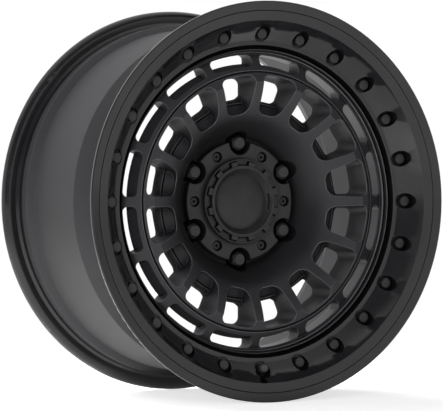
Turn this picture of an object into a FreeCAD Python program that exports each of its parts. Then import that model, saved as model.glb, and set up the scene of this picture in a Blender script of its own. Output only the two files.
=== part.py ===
import FreeCAD
import Part
import math
import os

# A cast alloy off-road wheel with its ring bolts, hub cover, cap, lug nuts and tyre valve.
# It stands upright: the axle runs along Y, the styled face looks to -Y and Z is up.
# The origin is the centre of the hub's mounting face, which lies midway across the rim.
# Sizes are millimetres and degrees. A depth runs from the front lip towards the back.

# Rim, 17 inches across the bead seats and 9 inches between the flanges
bead_diameter = 436.6
rim_width = 228.6
flange_height = 17.5
flange_thickness = 11.5
flange_curve = 9.5
lip_round = 1.5
bead_width = 20.0
bead_taper = 5.0
bead_chamfer = 3.0
hump_rise = 1.2
hump_width = 6.0
well_drop = 20.5
well_wall_run = 12.0
well_width = 26.0
well_ramp = 26.0
barrel_drop = 8.0
barrel_wall = 6.0
rear_lip_wall = 8.0

# Front lip and bolt ring, each width measured inwards from the one before
lip_band = 22.7
lip_fall = 5.1
lip_line_inset = 11.3
lip_line_width = 1.2
lip_line_cut = 1.0
wall_width = 7.3
wall_fall = 12.4
ring_width = 15.3
ring_fall = 13.3
land_width = 5.2
channel_width = 5.3
channel_cut = 23.0
bolt_inset = 37.6
bolt_count = 24
bolt_pocket_radius = 9.6
bolt_pocket_depth = 32.0
bolt_head_radius = 6.2
bolt_head_height = 7.6
bolt_head_chamfer = 0.8
bolt_radius = 4.0
bolt_length = 12.0
bolt_clearance = 0.2

# Slotted ring inside the channel, sloping back from its seam out to the foot of a steep kerb
kerb_width = 5.0
kerb_rise = 11.2
kerb_line_inset = 1.6
kerb_line_width = 1.0
kerb_line_cut = 2.4
slot_ring_fall = 15.6
slot_ring_rise = 11.6
slot_margin = 0.9
slot_height = 14.6
slot_web = 11.0
slot_corner = 6.0
seam_margin = 4.9
seam_width = 2.1
seam_cut = 3.6
disc_back_depth = 70.0
slot_back_depth = 66.0
sill_slope = 4.0
sill_depth = 57.0

# Spokes and windows
spoke_count = 16
spoke_width = 10.6
shoulder_width = 2.5
shoulder_rise = 0.8
crest_inset = 13.4
crest_depth = 29.8
dish_radius = 102.0
dish_depth = 52.0
window_inner = 102.6
window_corner = 8.0
window_end_corner = 12.0
window_draft = 4.0
window_back_depth = 80.0
ledge_length = 15.4
ledge_depth = 53.7
ledge_slope = 24.5
ledge_corner = 7.0
ledge_line_inset = 12.4
ledge_line_width = 2.0
ledge_line_cut = 2.5
spoke_back_radius = 126.0

# Hub
bore_radius = 53.05
hub_thickness = 35.8
hub_face_radius = 76.0
pad_radius = 86.0
pad_height = 19.0
lug_count = 6
lug_circle = 139.7
lug_hole_radius = 7.75
lug_seat_radius = 11.0
lug_seat_angle = 30.0
lug_seat_land = 14.0
lug_pocket_radius = 14.6
relief_inner = 61.0
relief_outer = 79.0
relief_width = 24.0
relief_corner = 6.0
relief_depth = 9.0
panel_inner = 87.0
panel_outer = 97.5
panel_spread = 52.0
panel_cut = 1.0

# Hub cover, screwed to the hub and scalloped round the lug nuts
cover_thickness = 10.0
cover_radius = 71.5
cover_bore = 40.0
cover_edge = 0.8
cap_seat_depth = 4.0
cap_socket_radius = 48.9
socket_rim = 1.6
socket_rim_rise = 6.0
block_count = 12
block_inner = 43.2
block_width = 14.0
block_chamfer = 2.2
block_rise = 5.4
screw_circle = 122.0
screw_radius = 2.5
screw_length = 18.0
screw_head_radius = 4.4
screw_head_height = 3.6
screw_socket = 4.0
screw_socket_depth = 2.0
screw_pocket_radius = 6.5
screw_pocket_depth = 6.5
screw_clearance = 0.2

# Centre cap, toothed between the cover's blocks
cap_radius = 42.6
tooth_reach = 5.0
tooth_width = 8.2
tooth_step = 0.6
cap_height = 13.6
funnel_radius = 39.3
dome_radius = 33.0
dome_height = 5.2
dome_rim_height = 6.8
slit_width = 1.8
slit_spread = 30.0
slit_cut = 1.2
cap_hollow_radius = 36.0
cap_hollow_depth = 4.4

# Lug nuts, closed and flat-topped
nut_flats = 17.0
nut_crown_radius = 6.3
nut_crown_height = 4.5
nut_length = 31.5
nut_bore_radius = 6.2
nut_bore_length = 24.0
nut_seat_clearance = 0.25

# Tyre valve, in the lowest ring pocket, which has no bolt
valve_pocket = 18
valve_tilt = 12.0
valve_inset = 34.0
valve_seat_depth = 46.0
valve_hole_radius = 5.75
valve_fit = 0.15
valve_notch_width = 10.0
valve_notch_shift = 7.0
valve_notch_depth = 24.0
valve_wall = 14.5
valve_bulb_radius = 8.6
valve_bulb_height = 4.5
valve_collar_radius = 6.3
valve_collar_height = 2.0
valve_tip_radius = 4.2
valve_stem_length = 4.5
valve_tube_radius = 2.6
valve_tube_bore = 1.7
valve_thread_radius = 3.85
valve_thread_length = 6.0
valve_core_length = 16.0
valve_core_radius = 1.3
valve_cap_radius = 4.8
valve_cap_length = 8.0
valve_cap_wall = 1.2

# Worked out from the sizes above
bead_radius = bead_diameter / 2
rim_edge = bead_radius + flange_height
rim_depth = rim_width + 2 * flange_thickness
lip_reach = rim_depth / 2
hub_depth = lip_reach - hub_thickness
lip_inner = rim_edge - lip_band
ring_outer = lip_inner - wall_width
ring_inner = ring_outer - ring_width
land_inner = ring_inner - land_width
slot_ring_outer = land_inner - channel_width
kerb_foot = slot_ring_outer - kerb_width
ring_edge_depth = lip_fall + wall_fall
land_depth = ring_edge_depth + ring_fall
slot_ring_depth = land_depth + slot_ring_fall
slot_outer = kerb_foot - slot_margin
slot_inner = slot_outer - slot_height
seam_outer = slot_inner - seam_margin
seam_inner = seam_outer - seam_width
window_outer = seam_inner - shoulder_width
ledge_end = window_inner + ledge_length
sill_radius = slot_inner + sill_slope
crest_radius = seam_outer - crest_inset
bolt_circle = rim_edge - bolt_inset
bolt_pitch = 360 / bolt_count
spoke_pitch = 360 / spoke_count
lug_radius = lug_circle / 2
lug_pitch = 360 / lug_count
cover_depth = hub_depth - cover_thickness
cap_foot = cover_depth + cap_seat_depth
origin = FreeCAD.Vector(0, 0, 0)
backwards = FreeCAD.Vector(0, 1, 0)
towards_face = FreeCAD.Vector(0, -1, 0)


def at(radius, depth, across=0.0):
    """The place at a radius along +X, a depth behind the lip and a distance to the side."""
    return FreeCAD.Vector(radius, depth - lip_reach, across)


def face_of(path):
    """A flat face in a closed path of corners. A pair in the path is an arc's middle and end."""
    edges = []
    here = path[0]
    for step in path[1:] + path[:1]:
        if isinstance(step, tuple):
            middle, end = step
            edges.append(Part.Arc(here, middle, end).toShape())
        else:
            end = step
            edges.append(Part.LineSegment(here, end).toShape())
        here = end
    return Part.Face(Part.Wire(edges))


def turned(path):
    """A solid turned round the axle from half of its section."""
    return face_of(path).revolve(origin, backwards, 360)


def prism(path, back):
    """A flat outline pushed straight back to a depth."""
    face = face_of(path)
    front = face.BoundBox.YMin + lip_reach
    return face.extrude(backwards * (back - front))


def rod(radius, circle_radius, front, back):
    """A round bar along the axle's direction, standing on +X at a distance from the axle."""
    return Part.makeCylinder(radius, back - front, at(circle_radius, front), backwards)


def around(shape, angle):
    """A copy turned about the axle, anticlockwise as seen from the styled face."""
    copy = shape.copy()
    copy.rotate(origin, towards_face, angle)
    return copy


def ring_of(shape, count, first=0.0):
    """Copies spaced evenly about the axle."""
    return [around(shape, first + 360 / count * index) for index in range(count)]


def upright_edges(solid):
    """The straight edges of a prism that run along the axle's direction."""
    upright = []
    for edge in solid.Edges:
        run = edge.Vertexes[-1].Point - edge.Vertexes[0].Point
        if abs(run.x) + abs(run.z) < 1e-6 and abs(run.y) > 1e-6:
            upright.append(edge)
    return upright


def rounded(solid, radius, chosen):
    """A prism with some of its upright edges rounded. The test takes an edge's distance along +X."""
    edges = [edge for edge in upright_edges(solid) if chosen(edge.Vertexes[0].Point.x)]
    return solid.makeFillet(radius, edges)


def arc_on(centre_radius, centre_depth, radius, start, end):
    """The middle and end of an arc in a section, by angles from outwards round to backwards."""
    places = []
    for angle in ((start + end) / 2, end):
        turn = math.radians(angle)
        places.append(at(centre_radius + radius * math.cos(turn), centre_depth + radius * math.sin(turn)))
    return tuple(places)


def tyre_side():
    """The rim's section as the tyre sees it, from the front flange across to the rear one."""
    tip = flange_thickness - flange_curve
    seat_start = flange_thickness + bead_chamfer
    seat_end = flange_thickness + bead_width
    seat_fall = (bead_width - bead_chamfer) * math.tan(math.radians(bead_taper))
    hump_end = seat_end + hump_width
    well_start = hump_end + well_wall_run
    well_end = well_start + well_width
    barrel_start = well_end + well_ramp
    seat_radius = bead_radius - seat_fall
    curve_radius = rim_edge - flange_curve
    front = [
        at(rim_edge - lip_round, 0),
        arc_on(rim_edge - lip_round, lip_round, lip_round, -90, 0),
        at(rim_edge, tip),
        arc_on(curve_radius, tip, flange_curve, 0, 90),
        at(bead_radius + bead_chamfer, flange_thickness),
        at(bead_radius, seat_start),
        at(seat_radius, seat_end),
        at(seat_radius + hump_rise, seat_end + hump_width / 2),
        at(seat_radius - hump_rise, hump_end),
        at(bead_radius - well_drop, well_start),
        at(bead_radius - well_drop, well_end),
        at(bead_radius - barrel_drop, barrel_start),
    ]
    rear = [
        at(bead_radius - barrel_drop, rim_depth - hump_end - hump_width),
        at(seat_radius - hump_rise, rim_depth - hump_end),
        at(seat_radius + hump_rise, rim_depth - seat_end - hump_width / 2),
        at(seat_radius, rim_depth - seat_end),
        at(bead_radius, rim_depth - seat_start),
        at(bead_radius + bead_chamfer, rim_depth - flange_thickness),
        at(curve_radius, rim_depth - flange_thickness),
        arc_on(curve_radius, rim_depth - tip, flange_curve, -90, 0),
        at(rim_edge, rim_depth - lip_round),
        at(rim_edge - lip_round, rim_depth),
    ]
    return front + rear


def brake_side():
    """The section of the barrel's inside and the back of the disc, from the rear lip to the bore."""
    hump_end = flange_thickness + bead_width + hump_width
    well_end = hump_end + well_wall_run + well_width
    barrel_inside = bead_radius - barrel_drop - barrel_wall
    well_inside = bead_radius - well_drop - barrel_wall
    rear_inside = bead_radius - rear_lip_wall
    return [
        at(rear_inside + flange_curve, rim_depth),
        at(rear_inside, rim_depth - flange_thickness),
        at(rear_inside, rim_depth - flange_thickness - bead_width),
        at(barrel_inside, rim_depth - hump_end - hump_width),
        at(barrel_inside, well_end + well_ramp),
        at(well_inside, well_end),
        at(well_inside, disc_back_depth),
        at(slot_ring_outer, slot_back_depth),
        at(slot_inner, slot_back_depth),
        at(window_outer, disc_back_depth),
        at(spoke_back_radius, disc_back_depth),
        at(pad_radius, lip_reach - pad_height),
        at(pad_radius, lip_reach),
        at(bore_radius, lip_reach),
    ]


def slot_ring_at(radius):
    """How deep the slotted ring's sloping face lies at a radius."""
    return slot_ring_depth - slot_ring_rise * (kerb_foot - radius) / (kerb_foot - seam_outer)


def kerb_at(radius):
    """How deep the kerb's steep face lies at a radius."""
    return slot_ring_depth - kerb_rise * (radius - kerb_foot) / kerb_width


def ledge_at(radius):
    """How deep the ledge in a window lies at a radius."""
    return ledge_depth + (radius - window_inner) * math.tan(math.radians(ledge_slope))


def styled_side():
    """The section of the styled face, from the bore out to the front lip."""
    line_radius = rim_edge - lip_line_inset
    line_depth = lip_fall * lip_line_inset / lip_band
    kerb_line = slot_ring_outer - kerb_line_inset
    kerb_line_end = kerb_line - kerb_line_width
    kerb_line_floor = kerb_at(kerb_line_end) + kerb_line_cut
    channel_floor = land_depth + channel_cut
    seam_depth = slot_ring_at(seam_outer)
    return [
        at(bore_radius, hub_depth),
        at(hub_face_radius, hub_depth),
        (at(dish_radius, dish_depth), at(crest_radius, crest_depth)),
        at(window_outer, seam_depth - shoulder_rise * 2),
        at(seam_inner, seam_depth - shoulder_rise),
        at(seam_inner, seam_depth + seam_cut),
        at(seam_outer, seam_depth + seam_cut),
        at(seam_outer, seam_depth),
        at(kerb_foot, slot_ring_depth),
        at(kerb_line_end, kerb_at(kerb_line_end)),
        at(kerb_line_end, kerb_line_floor),
        at(kerb_line, kerb_line_floor),
        at(kerb_line, kerb_at(kerb_line)),
        at(slot_ring_outer, kerb_at(slot_ring_outer)),
        at(slot_ring_outer, channel_floor),
        at(land_inner, channel_floor),
        at(land_inner, land_depth),
        at(ring_inner, land_depth),
        at(ring_outer, ring_edge_depth),
        at(lip_inner, lip_fall),
        at(line_radius - lip_line_width / 2, line_depth),
        at(line_radius, line_depth + lip_line_cut),
        at(line_radius + lip_line_width / 2, line_depth),
    ]


def window_outline(inner_end, corner, draft, depth):
    """The outline between two spokes at a depth, pointing along +X and drawn in by a draft."""
    half = math.radians(spoke_pitch / 2)
    side = spoke_width / 2 + draft
    outer_end = window_outer - draft
    inner_along = inner_end + draft
    outer_run = math.sqrt(outer_end**2 - side**2)
    inner_run = (inner_along - side * math.sin(half)) / math.cos(half)
    outer_along = outer_run * math.cos(half) + side * math.sin(half)
    outer_across = outer_run * math.sin(half) - side * math.cos(half)
    inner_across = inner_run * math.sin(half) - side * math.cos(half)
    path = [
        at(outer_along, depth, -outer_across),
        (at(outer_end, depth), at(outer_along, depth, outer_across)),
        at(inner_along, depth, inner_across),
        at(inner_along, depth, -inner_across),
    ]
    middle = (outer_along + inner_along) / 2
    length = outer_end - inner_along
    slab = prism(path, depth + 1)
    slab = rounded(slab, min(window_corner, length / 3), lambda along: along > middle)
    slab = rounded(slab, min(corner, length / 3, inner_across * 0.9), lambda along: along < middle)
    return min(slab.Faces, key=lambda face: face.CenterOfMass.y).OuterWire


def window(inner_end, corner):
    """An opening between two spokes, narrowing from the crest to the back."""
    front = window_outline(inner_end, corner, 0, crest_depth)
    back = window_outline(inner_end, corner, window_draft, window_back_depth)
    return Part.makeLoft([front, back], True, True)


def ledge():
    """What a window leaves standing at its hub end: a sloping ledge with a line cut across it."""
    line_start = window_inner + ledge_line_inset
    line_end = line_start + ledge_line_width
    end = ledge_end + window_draft + ledge_corner
    path = [
        at(pad_radius, ledge_depth),
        at(window_inner, ledge_depth),
        at(line_start, ledge_at(line_start)),
        at(line_start, ledge_at(line_start) + ledge_line_cut),
        at(line_end, ledge_at(line_end) + ledge_line_cut),
        at(line_end, ledge_at(line_end)),
        at(end, ledge_at(end)),
        at(end, rim_depth),
        at(pad_radius, rim_depth),
    ]
    return turned(path)


def windows():
    """The spoke windows: a recess down to the ledge at its hub end, and the way through."""
    recess = window(window_inner, window_end_corner).cut(ledge())
    tool = recess.fuse(window(ledge_end, ledge_corner))
    return ring_of(tool, spoke_count, spoke_pitch / 2)


def slots():
    """The round-ended slots in the ring outside the spokes."""
    half = math.radians(spoke_pitch / 2)
    corners = []
    for radius in (slot_outer, slot_inner):
        reach = half - math.asin(slot_web / 2 / radius)
        corners.append((radius * math.cos(reach), radius * math.sin(reach)))
    (outer_along, outer_across), (inner_along, inner_across) = corners
    path = [
        at(outer_along, 0, -outer_across),
        (at(slot_outer, 0), at(outer_along, 0, outer_across)),
        at(inner_along, 0, inner_across),
        (at(slot_inner, 0), at(inner_along, 0, -inner_across)),
    ]
    solid = prism(path, disc_back_depth)
    tool = rounded(solid, min(slot_corner, slot_height * 0.45), lambda along: True).cut(sill())
    return ring_of(tool, spoke_count, spoke_pitch / 2)


def sill():
    """What a slot leaves standing along its inner wall, leaning outwards down to an edge."""
    path = [
        at(seam_outer, slot_ring_at(slot_inner)),
        at(slot_inner, slot_ring_at(slot_inner)),
        at(sill_radius, sill_depth),
        at(seam_outer, disc_back_depth),
    ]
    return turned(path)


def slot_hollows():
    """The hollows behind the slots' sills, which leave a deep web behind each spoke."""
    path = [
        at(sill_radius, sill_depth),
        at(seam_outer, disc_back_depth),
        at(sill_radius, disc_back_depth),
    ]
    spread = spoke_pitch - 2 * math.degrees(math.asin(slot_web / 2 / slot_inner))
    tool = face_of(path).revolve(origin, towards_face, spread)
    return ring_of(tool, spoke_count, (spoke_pitch - spread) / 2)


def bolt_holes():
    """The ring's pockets, with a hole for a shank in each floor but the valve's."""
    pocket = rod(bolt_pocket_radius, bolt_circle, 0, bolt_pocket_depth)
    bottom = bolt_pocket_depth + bolt_length + bolt_clearance
    hole = rod(bolt_radius + bolt_clearance, bolt_circle, bolt_pocket_depth, bottom)
    pockets = ring_of(pocket.fuse(hole), bolt_count)
    pockets[valve_pocket] = around(pocket, bolt_pitch * valve_pocket)
    return pockets


def lug_holes():
    """The stud holes, each with its cone seat and a pocket for a socket."""
    cone_height = (lug_seat_radius - lug_hole_radius) / math.tan(math.radians(lug_seat_angle))
    seat = lip_reach - lug_seat_land
    floor = seat - cone_height
    hole = rod(lug_hole_radius, lug_radius, seat, rim_depth)
    cone = Part.makeCone(lug_seat_radius, lug_hole_radius, cone_height, at(lug_radius, floor), backwards)
    pocket = rod(lug_pocket_radius, lug_radius, 0, floor)
    return ring_of(hole.fuse([cone, pocket]), lug_count, lug_pitch / 2)


def screw_holes():
    """The tapped holes for the cover's screws."""
    depth = cover_depth + screw_pocket_depth + screw_length + screw_clearance
    hole = rod(screw_radius + screw_clearance, screw_circle / 2, hub_depth - 1, depth)
    return ring_of(hole, lug_count)


def reliefs():
    """The hollows in the back of the mounting pad, between the studs."""
    half = relief_width / 2
    floor = lip_reach - relief_depth
    path = [
        at(relief_outer, floor, -half),
        at(relief_outer, floor, half),
        at(relief_inner, floor, half),
        at(relief_inner, floor, -half),
    ]
    tool = rounded(prism(path, rim_depth), relief_corner, lambda along: True)
    return ring_of(tool, lug_count)


def face_depth(radius):
    """How deep the dished face lies at a radius, on the arc from the hub out to the crest."""
    arc = Part.Arc(at(hub_face_radius, hub_depth), at(dish_radius, dish_depth), at(crest_radius, crest_depth))
    line = Part.Line(at(radius, 0), at(radius, rim_depth))
    return arc.toShape().Curve.intersect(line)[0].Y + lip_reach


def panel():
    """The shallow recess, left plain, under the hub."""
    inner_depth = face_depth(panel_inner)
    outer_depth = face_depth(panel_outer)
    path = [
        at(panel_inner, inner_depth + panel_cut),
        at(panel_inner, outer_depth - cover_thickness),
        at(panel_outer, outer_depth - cover_thickness),
        at(panel_outer, outer_depth + panel_cut),
    ]
    band = face_of(path).revolve(origin, towards_face, panel_spread)
    return around(band, 270 - panel_spread / 2)


def valve_placed(shape):
    """A valve piece made along +X, from the seat on the tyre side outwards, put in its place."""
    copy = shape.copy()
    copy.rotate(origin, FreeCAD.Vector(0, 0, 1), 180 + 90 - valve_tilt)
    copy.translate(at(rim_edge - valve_inset, valve_seat_depth))
    return around(copy, bolt_pitch * valve_pocket)


def valve_turned(path):
    """A solid turned round the valve's own line, from places along it and out from it."""
    places = [FreeCAD.Vector(along, out, 0) for along, out in path]
    return face_of(places).revolve(origin, FreeCAD.Vector(1, 0, 0), 360)


def valve_bar(radius, start, end):
    return valve_turned([(start, 0), (end, 0), (end, radius), (start, radius)])


def valve_hole():
    """The valve's hole, the flat that its foot seats on and the notch beside it in the ring's wall."""
    hole = valve_bar(valve_hole_radius, -valve_wall, valve_wall * 2)
    seat = valve_bar(valve_bulb_radius + 1, -valve_wall, 0)
    near = valve_notch_shift - valve_notch_width / 2
    far = valve_notch_shift + valve_notch_width / 2
    path = [
        at(bolt_circle, 0, -far),
        at(lip_inner, 0, -far),
        at(lip_inner, 0, -near),
        at(bolt_circle, 0, -near),
    ]
    notch = around(prism(path, valve_notch_depth), bolt_pitch * valve_pocket)
    return [valve_placed(hole), valve_placed(seat), notch]


def wheel():
    """The casting: rim, bolt ring, slotted ring, spokes and hub in one piece."""
    body = turned(tyre_side() + brake_side() + styled_side())
    tools = windows() + slots() + slot_hollows() + bolt_holes() + lug_holes() + screw_holes() + reliefs()
    body = body.cut(tools + [panel()] + valve_hole())
    return body.removeSplitter()


def ring_bolts():
    head = bolt_pocket_depth - bolt_head_height
    edge = bolt_head_radius - bolt_head_chamfer
    path = [
        at(0, head),
        at(edge, head),
        at(bolt_head_radius, head + bolt_head_chamfer),
        at(bolt_head_radius, bolt_pocket_depth),
        at(bolt_radius, bolt_pocket_depth),
        at(bolt_radius, bolt_pocket_depth + bolt_length),
        at(0, bolt_pocket_depth + bolt_length),
    ]
    bolt = turned(path)
    bolt.translate(FreeCAD.Vector(bolt_circle, 0, 0))
    bolts = ring_of(bolt, bolt_count)
    del bolts[valve_pocket]
    return Part.makeCompound(bolts)


def hub_cover():
    rim_outer = cap_socket_radius + socket_rim
    rim_depth_front = cover_depth - socket_rim_rise
    path = [
        at(cover_bore, hub_depth),
        at(cover_bore, cap_foot),
        at(cap_socket_radius, cap_foot),
        at(cap_socket_radius, rim_depth_front),
        at(rim_outer, rim_depth_front),
        at(rim_outer, cover_depth),
        at(cover_radius - cover_edge, cover_depth),
        at(cover_radius, cover_depth + cover_edge),
        at(cover_radius, hub_depth),
    ]
    half = block_width / 2
    front = cover_depth - block_rise
    block_outer = cap_socket_radius + socket_rim / 2
    block_path = [
        at(block_outer, front, -half),
        at(block_outer, front, half),
        at(block_inner + block_chamfer, front, half),
        at(block_inner, front, half - block_chamfer),
        at(block_inner, front, block_chamfer - half),
        at(block_inner + block_chamfer, front, -half),
    ]
    body = turned(path).fuse(ring_of(prism(block_path, cap_foot), block_count))
    scallop = rod(lug_pocket_radius, lug_radius, 0, rim_depth)
    pocket = rod(screw_pocket_radius, screw_circle / 2, 0, cover_depth + screw_pocket_depth)
    hole = rod(screw_radius + screw_clearance, screw_circle / 2, cover_depth, rim_depth)
    tools = ring_of(scallop, lug_count, lug_pitch / 2) + ring_of(pocket.fuse(hole), lug_count)
    return body.cut(tools).removeSplitter()


def cover_screws():
    seat = cover_depth + screw_pocket_depth
    top = seat - screw_head_height
    path = [
        at(0, top),
        at(screw_head_radius, top),
        at(screw_head_radius, seat),
        at(screw_radius, seat),
        at(screw_radius, seat + screw_length),
        at(0, seat + screw_length),
    ]
    screw = turned(path).cut(hexagon(screw_socket, top, top + screw_socket_depth))
    screw.translate(FreeCAD.Vector(screw_circle / 2, 0, 0))
    return Part.makeCompound(ring_of(screw, lug_count))


def hexagon(flats, front, back):
    """A six-sided bar on the axle."""
    corner = flats / math.sqrt(3)
    path = []
    for index in range(6):
        turn = math.radians(60 * index)
        path.append(at(corner * math.cos(turn), front, corner * math.sin(turn)))
    return prism(path, back)


def centre_cap():
    front = cap_foot - cap_height
    rim = cap_foot - dome_rim_height
    inside = cap_foot - cap_hollow_depth
    dome_half = dome_radius / 2
    dome_middle = rim - dome_height * 0.75
    path = [
        at(0, rim - dome_height),
        (at(dome_half, dome_middle), at(dome_radius, rim)),
        at(funnel_radius, front),
        at(cap_radius, front),
        at(cap_radius, cap_foot),
        at(cap_hollow_radius, cap_foot),
        at(cap_hollow_radius, inside),
        at(0, inside),
    ]
    half = tooth_width / 2
    tooth_path = [
        at(funnel_radius + tooth_step, front + tooth_step, -half),
        at(cap_radius + tooth_reach, front + tooth_step, -half),
        at(cap_radius + tooth_reach, front + tooth_step, half),
        at(funnel_radius + tooth_step, front + tooth_step, half),
    ]
    teeth = ring_of(prism(tooth_path, cap_foot), block_count, 180 / block_count)
    slit_radius = (dome_radius + funnel_radius) / 2
    slit_floor = (front + rim) / 2 + slit_cut
    slit_path = [
        at(slit_radius - slit_width / 2, 0),
        at(slit_radius + slit_width / 2, 0),
        at(slit_radius + slit_width / 2, slit_floor),
        at(slit_radius - slit_width / 2, slit_floor),
    ]
    slit = around(face_of(slit_path).revolve(origin, towards_face, slit_spread), -slit_spread / 2)
    return turned(path).fuse(teeth).cut(ring_of(slit, 2)).removeSplitter()


def lug_nuts():
    tangent = math.tan(math.radians(lug_seat_angle))
    lift = nut_seat_clearance / math.sin(math.radians(lug_seat_angle))
    foot = lip_reach - lug_seat_land - lift
    top = foot - nut_length
    corner = nut_flats / math.sqrt(3)
    path = [
        at(0, top),
        at(nut_crown_radius, top),
        at(corner, top + nut_crown_height),
        at(corner, foot - (corner - lug_hole_radius) / tangent),
        at(lug_hole_radius, foot),
        at(nut_bore_radius, foot),
        at(nut_bore_radius, foot - nut_bore_length),
        at(0, foot - nut_bore_length),
    ]
    nut = turned(path).common(hexagon(nut_flats, top, foot))
    nut.translate(FreeCAD.Vector(lug_radius, 0, 0))
    return Part.makeCompound(ring_of(nut, lug_count, lug_pitch / 2))


def valve_stem():
    """The rubber stem: a foot on the tyre side, a neck in the hole and a tapered body."""
    neck = valve_hole_radius - valve_fit
    shoulder = valve_wall + valve_collar_height
    end = shoulder + valve_stem_length
    bore = valve_tube_radius
    path = [
        (-valve_bulb_height, bore),
        (-valve_bulb_height, valve_bulb_radius),
        (0, valve_bulb_radius),
        (0, neck),
        (valve_wall, neck),
        (valve_wall, valve_collar_radius),
        (shoulder, neck),
        (end, valve_tip_radius),
        (end, bore),
    ]
    return valve_placed(valve_turned(path))


def valve_tube():
    """The brass tube in the stem, with the thread's outside for the cap."""
    end = valve_wall + valve_collar_height + valve_stem_length
    path = [
        (-valve_bulb_height, valve_tube_bore),
        (-valve_bulb_height, valve_tube_radius),
        (end, valve_tube_radius),
        (end, valve_thread_radius),
        (end + valve_thread_length, valve_thread_radius),
        (end + valve_thread_length, valve_tube_bore),
    ]
    return valve_placed(valve_turned(path))


def valve_core():
    end = valve_wall + valve_collar_height + valve_stem_length + valve_thread_length
    return valve_placed(valve_bar(valve_core_radius, end - valve_core_length, end))


def valve_cap():
    start = valve_wall + valve_collar_height + valve_stem_length
    end = start + valve_cap_length
    inside = start + valve_thread_length + valve_fit
    bore = valve_thread_radius + valve_fit
    path = [
        (start, bore),
        (start, valve_cap_radius),
        (end - valve_cap_wall, valve_cap_radius),
        (end, valve_cap_radius - valve_cap_wall),
        (end, 0),
        (inside, 0),
        (inside, bore),
    ]
    return valve_placed(valve_turned(path))


makers = (
    wheel,
    ring_bolts,
    hub_cover,
    centre_cap,
    cover_screws,
    lug_nuts,
    valve_stem,
    valve_tube,
    valve_core,
    valve_cap,
)
os.makedirs("parts", exist_ok=True)
for maker in makers:
    shape = maker()
    shape.exportStep("parts/" + maker.__name__ + ".step")
    volume = sum(solid.Volume for solid in shape.Solids) / 1000
    print(maker.__name__, len(shape.Solids), "solids", round(volume, 2), "cm3", shape.isValid())
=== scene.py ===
import bpy
import math
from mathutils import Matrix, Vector


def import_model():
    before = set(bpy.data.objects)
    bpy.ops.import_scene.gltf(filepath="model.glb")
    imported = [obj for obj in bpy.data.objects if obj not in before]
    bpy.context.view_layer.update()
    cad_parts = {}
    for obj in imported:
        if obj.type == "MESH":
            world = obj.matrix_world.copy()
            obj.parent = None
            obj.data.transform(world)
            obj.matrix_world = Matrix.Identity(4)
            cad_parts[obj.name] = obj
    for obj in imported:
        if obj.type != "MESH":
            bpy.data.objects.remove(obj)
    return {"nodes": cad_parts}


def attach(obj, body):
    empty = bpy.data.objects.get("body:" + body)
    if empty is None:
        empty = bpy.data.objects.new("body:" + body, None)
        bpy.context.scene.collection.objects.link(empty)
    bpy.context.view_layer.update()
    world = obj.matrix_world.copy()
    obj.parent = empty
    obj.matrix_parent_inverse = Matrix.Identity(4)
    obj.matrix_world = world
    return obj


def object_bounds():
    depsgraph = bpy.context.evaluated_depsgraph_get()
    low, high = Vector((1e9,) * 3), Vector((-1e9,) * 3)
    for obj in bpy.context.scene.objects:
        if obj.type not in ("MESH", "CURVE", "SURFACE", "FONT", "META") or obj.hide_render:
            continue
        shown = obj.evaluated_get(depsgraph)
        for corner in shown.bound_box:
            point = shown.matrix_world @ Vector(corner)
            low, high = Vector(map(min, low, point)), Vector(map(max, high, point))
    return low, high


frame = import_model()
nodes = frame["nodes"]
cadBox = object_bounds()
print("frame loaded,", len(nodes), "nodes")


class Wire:  # an output in a shader tree, so that sums are written as Python
    def __init__(self, tree, socket=None):
        self.tree = tree
        self.socket = socket

    def node(self, kind, settings, sockets, output=0):  # any node: settings first, then its sockets
        made = self.tree.nodes.new(kind)
        for name, value in settings.items():
            setattr(made, name, value)
        for name, value in sockets.items():
            if isinstance(value, Wire):
                self.tree.links.new(value.socket, made.inputs[name])
            else:
                made.inputs[name].default_value = value
        return Wire(self.tree, made.outputs[output] if made.outputs else None)

    def maths(self, operation, first, second):
        return self.node("ShaderNodeMath", {"operation": operation}, {0: first, 1: second})

    def __add__(self, other):
        return self.maths("ADD", self, other)

    def __radd__(self, other):
        return self.maths("ADD", other, self)

    def __sub__(self, other):
        return self.maths("SUBTRACT", self, other)

    def __rsub__(self, other):
        return self.maths("SUBTRACT", other, self)

    def __mul__(self, other):
        return self.maths("MULTIPLY", self, other)

    def __rmul__(self, other):
        return self.maths("MULTIPLY", other, self)


def between(value, low, high):  # a soft step from 0 at low to 1 at high
    sockets = {"Value": value, "From Min": low, "From Max": high}
    return value.node("ShaderNodeMapRange", {"interpolation_type": "SMOOTHSTEP"}, sockets)


def past(value, limit, fade):  # 1 above a limit
    return between(value, limit - fade, limit + fade)


def before(value, limit, fade):  # 1 below a limit
    return between(value, limit + fade, limit - fade)


def mixValue(mask, first, second):  # numbers, from the first at 0 to the second at 1
    return first - mask * (first - second)


def mixColour(mask, first, second):  # the same for colours, whose sockets are 6 and 7
    ends = [end if isinstance(end, Wire) else (*end, 1) for end in (first, second)]
    return mask.node("ShaderNodeMix", {"data_type": "RGBA"}, {0: mask, 6: ends[0], 7: ends[1]}, 2)


def startMaterial(name):
    material = bpy.data.materials.new(name)
    material.use_nodes = True
    material.node_tree.nodes.clear()
    return material, Wire(material.node_tree)


def place(wire):  # where a point lies
    return wire.node("ShaderNodeTexCoord", {}, {}, "Object")


def apart(spot, axes):  # a point's distance from the origin, along some axes alone
    flat = spot.node("ShaderNodeVectorMath", {"operation": "MULTIPLY"}, {0: spot, 1: axes})
    return spot.node("ShaderNodeVectorMath", {"operation": "LENGTH"}, {0: flat}, "Value")


def along(spot, axis):  # one part of a point: 0, 1 or 2 for X, Y or Z
    return spot.node("ShaderNodeSeparateXYZ", {}, {0: spot}, axis)


def dot(first, second):
    sockets = {0: first, 1: second}
    return first.node("ShaderNodeVectorMath", {"operation": "DOT_PRODUCT"}, sockets, "Value")


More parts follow.
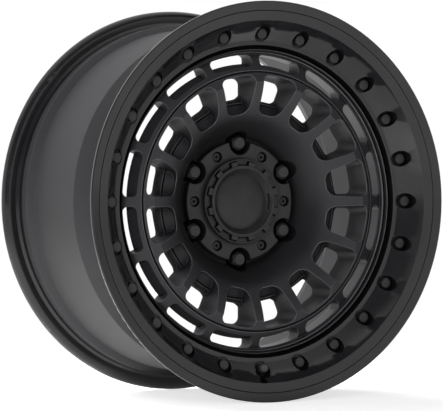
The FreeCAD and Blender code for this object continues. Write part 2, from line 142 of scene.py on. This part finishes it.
def noise(spot, scale, detail=2.0, rough=0.5):
    sockets = {"Vector": spot, "Scale": scale, "Detail": detail, "Roughness": rough}
    return spot.node("ShaderNodeTexNoise", {}, sockets)


def swing(value, amount):  # a noise as a change to either side of its mean
    return (value - 0.5) * amount


rounding = {"samples": 6, "edgeSteps": (0.01, 0.22)}
# shade is painted shade: the colour that narrow recesses are darkened to
paintedRecessShade = {"samples": 8, "shade": (0.0026, 0.0023, 0.0028)}


def roundEdges(wire, radius):  # the normal, turned as on rounded edges
    return wire.node("ShaderNodeBevel", {"samples": rounding["samples"]}, {"Radius": radius})


def edgeMask(rounded):  # 1 along the edges that were rounded
    flat = rounded.node("ShaderNodeNewGeometry", {}, {}, "Normal")
    return between(1 - dot(rounded, flat), *rounding["edgeSteps"])


def openness(wire, reach):  # 1 on open faces, falling towards 0 in narrow recesses, where the painted shade goes
    settings = {"samples": paintedRecessShade["samples"]}
    return wire.node("ShaderNodeAmbientOcclusion", settings, {"Distance": reach}, "AO")


def bump(height, normal, depth):
    sockets = {"Height": height, "Normal": normal, "Distance": depth}
    return height.node("ShaderNodeBump", {}, sockets)


def finishMaterial(material, wire, sockets):
    shader = wire.node("ShaderNodeBsdfPrincipled", {}, sockets)
    wire.node("ShaderNodeOutputMaterial", {}, {"Surface": shader})
    return material


castPaint = {
    "dark": (0.0085, 0.0080, 0.0091),
    "pale": (0.0150, 0.0142, 0.0159),
    # painted highlight: a lighter colour along rounded outer edges
    "edge": (0.10, 0.097, 0.104),
    # painted light: a lighter tone on the barrel, standing in for the light it catches
    "barrel": (0.028, 0.027, 0.0295),
    "face": (0.0205, 0.0195, 0.0218),  # painted light: a lighter tone on the spokes and the slotted ring, standing in for the light on their faces
    "glossFrom": (0.1795, 0.0008),  # metres from the axle, and how far the change fades
    "barrelFrom": (0.190, 0.0005),
    "faceFrom": (0.100, 0.006),
    "faceTo": (0.1775, 0.001),
    "slotsFrom": (0.152, 0.002),
    "frontLip": (-0.085, 0.001),  # the same along the axle, behind the front lip and bolt ring
    "rearLip": (0.105, 0.001),
    "satin": 0.42,
    "gloss": 0.14,  # on the bolt ring and the lips
    "recessRough": 0.45,  # added to the roughness, as the next three are
    "barrelRough": 0.12,
    "edgeRough": -0.12,
    "cloudRough": 0.10,
    "clouds": (9.0, 4.0, 0.6),  # a noise's scale, detail and roughness
    "cloudSteps": (0.3, 0.7),
    "edgeHighlightNoise": (140.0, 3.0),
    "edgeHighlightNoiseSteps": (-0.30, 0.50),
    "peel": (850.0, 1.0),
    "grit": (5200.0, 1.0),
    "bumpDepth": 0.000006,
    "edgeRadius": 0.0022,
    "glossEdgeRadius": 0.0005,
    "recessReach": 0.032,
    "slotReach": 0.009,  # the same by the slots, which lie close under the bolt ring's wall
    "exposedSteps": (0.45, 0.95),
    "outerSteps": (0.40, 0.65),
    "coat": 0.25,
    "coatRough": 0.08,
    "specular": 0.35,
}


def castPaintMaterial(look):
    material, wire = startMaterial("castPaint")
    spot = place(wire)
    radius = apart(spot, (1, 0, 1))
    depth = along(spot, 1)
    lips = before(depth, *look["frontLip"]) + past(depth, *look["rearLip"])
    glossy = past(radius, *look["glossFrom"]) * lips
    barrel = past(radius, *look["barrelFrom"]) * (1 - lips)
    inside = before(radius, *look["faceTo"])
    face = past(radius, *look["faceFrom"]) * inside
    slots = past(radius, *look["slotsFrom"]) * inside
    normal = roundEdges(wire, mixValue(glossy, look["edgeRadius"], look["glossEdgeRadius"]))
    light = openness(wire, mixValue(slots, look["recessReach"], look["slotReach"]))
    exposed = between(light, *look["exposedSteps"])
    highlitEdges = edgeMask(normal) * between(light, *look["outerSteps"])  # the painted highlight, on outer edges alone
    clouds = noise(spot, *look["clouds"])
    colour = mixColour(between(clouds, *look["cloudSteps"]), look["dark"], look["pale"])
    # painted light: the barrel's lighter tone
    colour = mixColour(barrel, colour, look["barrel"])
    # painted light: the lighter tone on the faces of the spokes and slotted ring
    colour = mixColour(face, colour, look["face"])
    # painted shade: the colour darkens in narrow recesses
    colour = mixColour(exposed, paintedRecessShade["shade"], colour)
    # painted highlight along the rounded outer edges, broken up by noise
    edgeHighlightNoise = between(noise(spot, *look["edgeHighlightNoise"]), *look["edgeHighlightNoiseSteps"])
    colour = mixColour(highlitEdges * edgeHighlightNoise, colour, look["edge"])
    roughness = mixValue(glossy, look["satin"], look["gloss"]) + swing(clouds, look["cloudRough"])
    roughness = roughness + (1 - exposed) * (1 - highlitEdges) * look["recessRough"]
    roughness = roughness + barrel * look["barrelRough"] + highlitEdges * look["edgeRough"]
    height = noise(spot, *look["peel"]) + noise(spot, *look["grit"]) * (1 - glossy)
    return finishMaterial(material, wire, {
        "Base Color": colour,
        "Roughness": roughness,
        "Coat Weight": glossy * exposed * look["coat"],
        "Coat Roughness": look["coatRough"],
        "Specular IOR Level": look["specular"],
        "Normal": bump(height, normal, look["bumpDepth"]),
    })


grained = {  # what the next four finishes share
    "clouds": (60.0, 4.0, 0.6),
    "cloudSteps": (0.3, 0.7),
    "cloudRough": 0.16,
    # the next three set where the painted highlight along edges shows
    "highlightPatches": (400.0, 3.0),
    "highlightPatchSteps": (0.3, 0.7),
    "highlightShare": 0.6,
    "exposedSteps": (0.40, 0.90),
    "recessRough": 0.4,
    "specular": 0.35,
    "bumpDepth": 0.00002,
}

blackSteel = {
    **grained,
    "dark": (0.012, 0.012, 0.013),
    "pale": (0.022, 0.022, 0.023),
    "edge": (0.09, 0.09, 0.09),
    "rough": 0.40,
    "grain": 2600.0,
    "edgeRadius": 0.0004,
    "recessReach": 0.010,
}

coverPlastic = {
    **grained,
    "dark": (0.010, 0.010, 0.011),
    "pale": (0.017, 0.017, 0.018),
    "edge": (0.05, 0.05, 0.052),
    "rough": 0.46,
    "grain": 3600.0,
    "edgeRadius": 0.0005,
    "recessReach": 0.012,
}

stemRubber = {
    **grained,
    "dark": (0.008, 0.008, 0.008),
    "pale": (0.018, 0.018, 0.018),
    "edge": (0.03, 0.03, 0.03),
    "rough": 0.68,
    "grain": 4200.0,
    "edgeRadius": 0.0004,
    "recessReach": 0.010,
}

valvePlastic = {
    **grained,
    "dark": (0.03, 0.03, 0.03),
    "pale": (0.06, 0.06, 0.062),
    "edge": (0.12, 0.12, 0.12),
    "rough": 0.38,
    "grain": 5000.0,
    "edgeRadius": 0.0003,
    "recessReach": 0.006,
}


def grainMaterial(name, look):  # a coated or moulded surface with a fine grain
    material, wire = startMaterial(name)
    spot = place(wire)
    normal = roundEdges(wire, look["edgeRadius"])
    exposed = between(openness(wire, look["recessReach"]), *look["exposedSteps"])
    clouds = noise(spot, *look["clouds"])
    colour = mixColour(between(clouds, *look["cloudSteps"]), look["dark"], look["pale"])
    # painted highlight: a lighter colour along rounded edges, in patches
    highlightPatches = between(noise(spot, *look["highlightPatches"]), *look["highlightPatchSteps"])
    colour = mixColour(edgeMask(normal) * highlightPatches * look["highlightShare"], colour, look["edge"])
    # painted shade: the colour darkens in narrow recesses
    colour = mixColour(exposed, paintedRecessShade["shade"], colour)
    roughness = look["rough"] + swing(clouds, look["cloudRough"])
    return finishMaterial(material, wire, {
        "Base Color": colour,
        "Roughness": roughness + (1 - exposed) * look["recessRough"],
        "Specular IOR Level": look["specular"],
        "Normal": bump(noise(spot, look["grain"]), normal, look["bumpDepth"]),
    })


valveBrass = {
    "dark": (0.42, 0.28, 0.10),
    "pale": (0.66, 0.48, 0.20),
    "clouds": (220.0, 4.0, 0.6),
    "rough": 0.32,
    "grain": 1800.0,
    "grainRough": 0.2,
    "edgeRadius": 0.0002,
    "bumpDepth": 0.00001,
}


def brassMaterial(look):
    material, wire = startMaterial("valveBrass")
    spot = place(wire)
    grain = noise(spot, look["grain"])
    normal = roundEdges(wire, look["edgeRadius"])
    return finishMaterial(material, wire, {
        "Base Color": mixColour(noise(spot, *look["clouds"]), look["dark"], look["pale"]),
        "Roughness": look["rough"] + swing(grain, look["grainRough"]),
        "Metallic": 1.0,
        "Normal": bump(grain, normal, look["bumpDepth"]),
    })


steel = grainMaterial("blackSteel", blackSteel)
cover = grainMaterial("coverPlastic", coverPlastic)
rubber = grainMaterial("stemRubber", stemRubber)
valveBlack = grainMaterial("valvePlastic", valvePlastic)
brass = brassMaterial(valveBrass)
finishes = {
    "wheel": castPaintMaterial(castPaint),
    "ring_bolts": steel,
    "hub_cover": cover,
    "centre_cap": cover,
    "cover_screws": steel,
    "lug_nuts": steel,
    "valve_stem": rubber,
    "valve_tube": brass,
    "valve_core": brass,
    "valve_cap": valveBlack,
}
for name, material in finishes.items():
    mesh = nodes[name].data
    mesh.materials.clear()
    mesh.materials.append(material)
print("materials on", len(finishes), "nodes")


def startTree(name, inputs):  # a Geometry Nodes tree with named inputs, and a way to add nodes
    tree = bpy.data.node_groups.new(name, "GeometryNodeTree")
    tree.interface.new_socket("Geometry", in_out="INPUT", socket_type="NodeSocketGeometry")
    for label, (kind, value) in inputs.items():
        socket = tree.interface.new_socket(label, in_out="INPUT", socket_type="NodeSocket" + kind)
        socket.default_value = value
    tree.interface.new_socket("Geometry", in_out="OUTPUT", socket_type="NodeSocketGeometry")
    start = tree.nodes.new("NodeGroupInput")

    def add(kind, settings, sockets):
        made = tree.nodes.new(kind)
        for label, value in settings.items():
            setattr(made, label, value)
        for label, value in sockets.items():
            if isinstance(value, bpy.types.NodeSocket):
                tree.links.new(value, made.inputs[label])
            else:
                made.inputs[label].default_value = value
        return made.outputs

    return tree, start.outputs, add


shading = {"weld": 0.00001, "angle": math.radians(19)}


def shadingTree(look):  # joins the loose triangles and shades them smooth, apart from sharp edges
    inputs = {"Weld distance": ("Float", look["weld"]), "Sharp angle": ("Float", look["angle"])}
    tree, given, add = startTree("smoothCasting", inputs)
    sockets = {"Geometry": given["Geometry"], "Distance": given["Weld distance"]}
    whole = add("GeometryNodeMergeByDistance", {}, sockets)["Geometry"]
    smooth = add("GeometryNodeSetShadeSmooth", {"domain": "FACE"}, {"Geometry": whole})["Geometry"]
    bend = add("GeometryNodeInputMeshEdgeAngle", {}, {})["Unsigned Angle"]
    sockets = {0: bend, 1: given["Sharp angle"]}
    sharp = add("FunctionNodeCompare", {"operation": "GREATER_THAN"}, sockets)["Result"]
    sockets = {"Geometry": smooth, "Selection": sharp, "Shade Smooth": False}
    creased = add("GeometryNodeSetShadeSmooth", {"domain": "EDGE"}, sockets)["Geometry"]
    add("NodeGroupOutput", {}, {"Geometry": creased})
    return tree


smoothCasting = shadingTree(shading)
for name in nodes:
    nodes[name].modifiers.new("smoothCasting", "NODES").node_group = smoothCasting
print("shading set")


def makePiece(name, tree):  # runs a tree on an empty mesh and keeps the result as a piece
    holder = bpy.data.objects.new(name + "Holder", bpy.data.meshes.new(name + "Holder"))
    bpy.context.scene.collection.objects.link(holder)
    holder.modifiers.new(name, "NODES").node_group = tree
    seen = bpy.context.evaluated_depsgraph_get()
    mesh = bpy.data.meshes.new_from_object(holder.evaluated_get(seen))
    bpy.data.objects.remove(holder)
    mesh.name = name
    piece = bpy.data.objects.new(name, mesh)
    bpy.context.scene.collection.objects.link(piece)
    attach(piece, "root")


nutThread = {
    "circle": 0.06985,  # metres from the axle to a nut's own line
    "nuts": 6,
    "firstAngle": math.radians(30),
    "bore": 0.0062,
    "depth": 0.0006,
    "pitch": 0.0015,
    "turns": 14,
    "mouth": -0.0147,
    "stepsPerTurn": 28,
    "ridgeSides": 4,
    "alongAxle": (math.radians(90), 0, 0),
}


def nutThreadTree(look):  # a thread in each nut's bore
    inputs = {
        "Nut circle": ("Float", look["circle"]),
        "Nuts": ("Int", look["nuts"]),
        "Bore": ("Float", look["bore"]),
        "Thread depth": ("Float", look["depth"]),
        "Turns": ("Float", look["turns"]),
        "Length": ("Float", look["turns"] * look["pitch"]),
    }
    tree, given, add = startTree("nutThread", inputs)
    sockets = {
        "Resolution": look["stepsPerTurn"],
        "Rotations": given["Turns"],
        "Start Radius": given["Bore"],
        "End Radius": given["Bore"],
        "Height": given["Length"],
    }
    spiral = add("GeometryNodeCurveSpiral", {}, sockets)["Curve"]
    sockets = {"Resolution": look["ridgeSides"], "Radius": given["Thread depth"]}
    profile = add("GeometryNodeCurvePrimitiveCircle", {}, sockets)["Curve"]
    sockets = {"Curve": spiral, "Profile Curve": profile, "Fill Caps": True}
    ridge = add("GeometryNodeCurveToMesh", {}, sockets)["Mesh"]
    sockets = {"Vertices": given["Nuts"], "Radius": given["Nut circle"]}
    ring = add("GeometryNodeMeshCircle", {}, sockets)["Mesh"]
    sockets = {"Points": ring, "Instance": ridge}
    threads = add("GeometryNodeInstanceOnPoints", {}, sockets)["Instances"]
    sockets = {"Geometry": threads, "Rotation": (0, 0, look["firstAngle"])}
    threads = add("GeometryNodeTransform", {}, sockets)["Geometry"]
    sockets = {
        "Geometry": threads,
        "Rotation": look["alongAxle"],
        "Translation": (0, look["mouth"], 0),
    }
    threads = add("GeometryNodeTransform", {}, sockets)["Geometry"]
    threads = add("GeometryNodeRealizeInstances", {}, {"Geometry": threads})["Geometry"]
    sockets = {"Geometry": threads, "Material": steel}
    threads = add("GeometryNodeSetMaterial", {}, sockets)["Geometry"]
    add("NodeGroupOutput", {}, {"Geometry": threads})
    return tree


makePiece("nutThread", nutThreadTree(nutThread))


capGrip = {
    "seat": (0, -0.0798, -0.2018),  # where the valve's line starts on the tyre side
    "tilt": math.radians(12),
    "middle": 0.0242,  # along that line
    "length": 0.0056,
    "radius": 0.0048,
    "ribs": 22,
    "ribRadius": 0.00036,
    "ribSides": 8,
}


def capGripTree(look):  # the ribs round the valve cap
    inputs = {
        "Cap radius": ("Float", look["radius"]),
        "Ribs": ("Int", look["ribs"]),
        "Rib radius": ("Float", look["ribRadius"]),
        "Rib length": ("Float", look["length"]),
    }
    tree, given, add = startTree("capGrip", inputs)
    sockets = {
        "Vertices": look["ribSides"],
        "Radius": given["Rib radius"],
        "Depth": given["Rib length"],
    }
    rib = add("GeometryNodeMeshCylinder", {}, sockets)["Mesh"]
    sockets = {"Vertices": given["Ribs"], "Radius": given["Cap radius"]}
    ring = add("GeometryNodeMeshCircle", {}, sockets)["Mesh"]
    ribs = add("GeometryNodeInstanceOnPoints", {}, {"Points": ring, "Instance": rib})["Instances"]
    line = Vector((0, -math.cos(look["tilt"]), math.sin(look["tilt"])))
    sockets = {
        "Geometry": ribs,
        "Rotation": line.to_track_quat("Z", "Y").to_euler(),
        "Translation": Vector(look["seat"]) + line * look["middle"],
    }
    ribs = add("GeometryNodeTransform", {}, sockets)["Geometry"]
    ribs = add("GeometryNodeRealizeInstances", {}, {"Geometry": ribs})["Geometry"]
    sockets = {"Geometry": ribs, "Material": valveBlack}
    ribs = add("GeometryNodeSetMaterial", {}, sockets)["Geometry"]
    add("NodeGroupOutput", {}, {"Geometry": ribs})
    return tree


makePiece("capGrip", capGripTree(capGrip))
print("threads and grip made")


stage = {
    "white": 1.0,  # the strength at which the background is white
    "floorSize": 14.0,
    "floorDark": (0.80, 0.80, 0.80),
    "floorPale": (0.816, 0.816, 0.816),
    "specks": (30.0, 3.0),
    "floorLift": 0.66,  # added for rays that see the background, so that the open floor is white
    "shadowReach": (0.45, 1.1),  # metres from the wheel over which the shadow fades out
    "fill": 0.28,  # how much of the studio's white lights the wheel: reflections show it all
    "front": 0.08,  # the studio is dark in front, and white behind
    "backSteps": (-0.35, 0.25),
    "card": 0.85,  # a white card in front, a little to the right
    "cardSide": (0.35, -0.94, 0),
    "cardSteps": (0.70, 0.88),
    "cardTop": (0.60, 0.35),
    "overhead": 0.5,  # the ceiling
    "overheadSteps": (0.72, 0.95),
}


def seenBy(wire, kinds):  # 1 for some kinds of ray
    rays = [wire.node("ShaderNodeLightPath", {}, {}, "Is " + kind + " Ray") for kind in kinds]
    seen = rays[0]
    for ray in rays[1:]:
        seen = seen.maths("MAXIMUM", seen, ray)
    return seen


def floorMaterial(look):
    material, wire = startMaterial("studioFloor")
    spot = place(wire)
    far = between(apart(spot, (1, 1, 0)), *look["shadowReach"])
    colour = mixColour(noise(spot, *look["specks"]), look["floorDark"], look["floorPale"])
    paper = wire.node("ShaderNodeBsdfDiffuse", {}, {"Color": colour})
    seen = seenBy(wire, ("Camera", "Glossy", "Transmission"))
    lift = wire.node("ShaderNodeEmission", {}, {"Strength": seen * look["floorLift"]})
    near = wire.node("ShaderNodeAddShader", {}, {0: paper, 1: lift})
    white = wire.node("ShaderNodeEmission", {}, {"Strength": look["white"]})
    shader = wire.node("ShaderNodeMixShader", {}, {0: far * seen, 1: near, 2: white})
    wire.node("ShaderNodeOutputMaterial", {}, {"Surface": shader})
    return material


def makeWorld(look):
    world = bpy.data.worlds.new("studio")
    bpy.context.scene.world = world
    world.use_nodes = True
    world.node_tree.nodes.clear()
    wire = Wire(world.node_tree)
    towards = wire.node("ShaderNodeTexCoord", {}, {}, "Generated")
    up = along(towards, 2)
    back = between(along(towards, 1), *look["backSteps"])
    card = between(dot(towards, look["cardSide"]), *look["cardSteps"])
    card = card * between(up, *look["cardTop"])
    overhead = between(up, *look["overheadSteps"])
    studio = look["front"] + back * (1 - look["front"])
    studio = studio + card * look["card"] + overhead * look["overhead"]
    studio = studio.maths("MINIMUM", studio, look["white"])
    mirrored = seenBy(wire, ("Glossy", "Transmission"))
    lit = studio * (look["fill"] + mirrored * (1 - look["fill"]))
    strength = lit.maths("MAXIMUM", lit, seenBy(wire, ("Camera",)) * look["white"])
    shader = wire.node("ShaderNodeBackground", {}, {"Color": (1, 1, 1, 1), "Strength": strength})
    wire.node("ShaderNodeOutputWorld", {}, {"Surface": shader})


def makeFloor(look):
    half = look["floorSize"] / 2
    level = cadBox[0].z
    corners = ((-half, -half), (half, -half), (half, half), (-half, half))
    mesh = bpy.data.meshes.new("studioFloor")
    mesh.from_pydata([(x, y, level) for x, y in corners], [], [(0, 1, 2, 3)])
    mesh.materials.append(floorMaterial(look))
    floor = bpy.data.objects.new("studioFloor", mesh)
    bpy.context.scene.collection.objects.link(floor)


makeFloor(stage)
makeWorld(stage)
print("floor and world made")


lamps = {  # all aimed at the wheel's middle
    "front": {"at": (-1.7, -2.8, 0.1), "size": 2.2, "power": 105},
    "key": {"at": (-2.5, -1.7, 0.6), "size": 1.3, "power": 20},
    "high": {"at": (-0.1, 1.4, 2.3), "size": 1.6, "power": 60},
    "backLeft": {"at": (-0.7, 2.3, 0.8), "size": 1.1, "power": 85},
}
for name, look in lamps.items():
    lamp = bpy.data.lights.new(name, "AREA")
    lamp.shape = "DISK"
    lamp.size = look["size"]
    lamp.energy = look["power"]
    lampObject = bpy.data.objects.new(name, lamp)
    lampObject.location = look["at"]
    lampObject.rotation_euler = (-Vector(look["at"])).to_track_quat("-Z", "Y").to_euler()
    lampObject.visible_glossy = False  # the paint shows the studio's white surfaces instead
    bpy.context.scene.collection.objects.link(lampObject)
print("lamps lit")


view = {
    "at": (-1.6362, -3.0199, 0.0248),
    "forward": (0.4763, 0.8792, -0.0088),
    "sensor": 36.0,  # millimetres, as the lens is
    "lens": 230.385,
}
cameraData = bpy.data.cameras.new("photoView")
cameraData.sensor_width = view["sensor"]
cameraData.lens = view["lens"]
camera = bpy.data.objects.new("photoView", cameraData)
camera.location = view["at"]
camera.rotation_euler = Vector(view["forward"]).to_track_quat("-Z", "Y").to_euler()
bpy.context.scene.collection.objects.link(camera)
bpy.context.scene.camera = camera
bpy.context.scene.view_settings.view_transform = "Standard"
print("camera set")
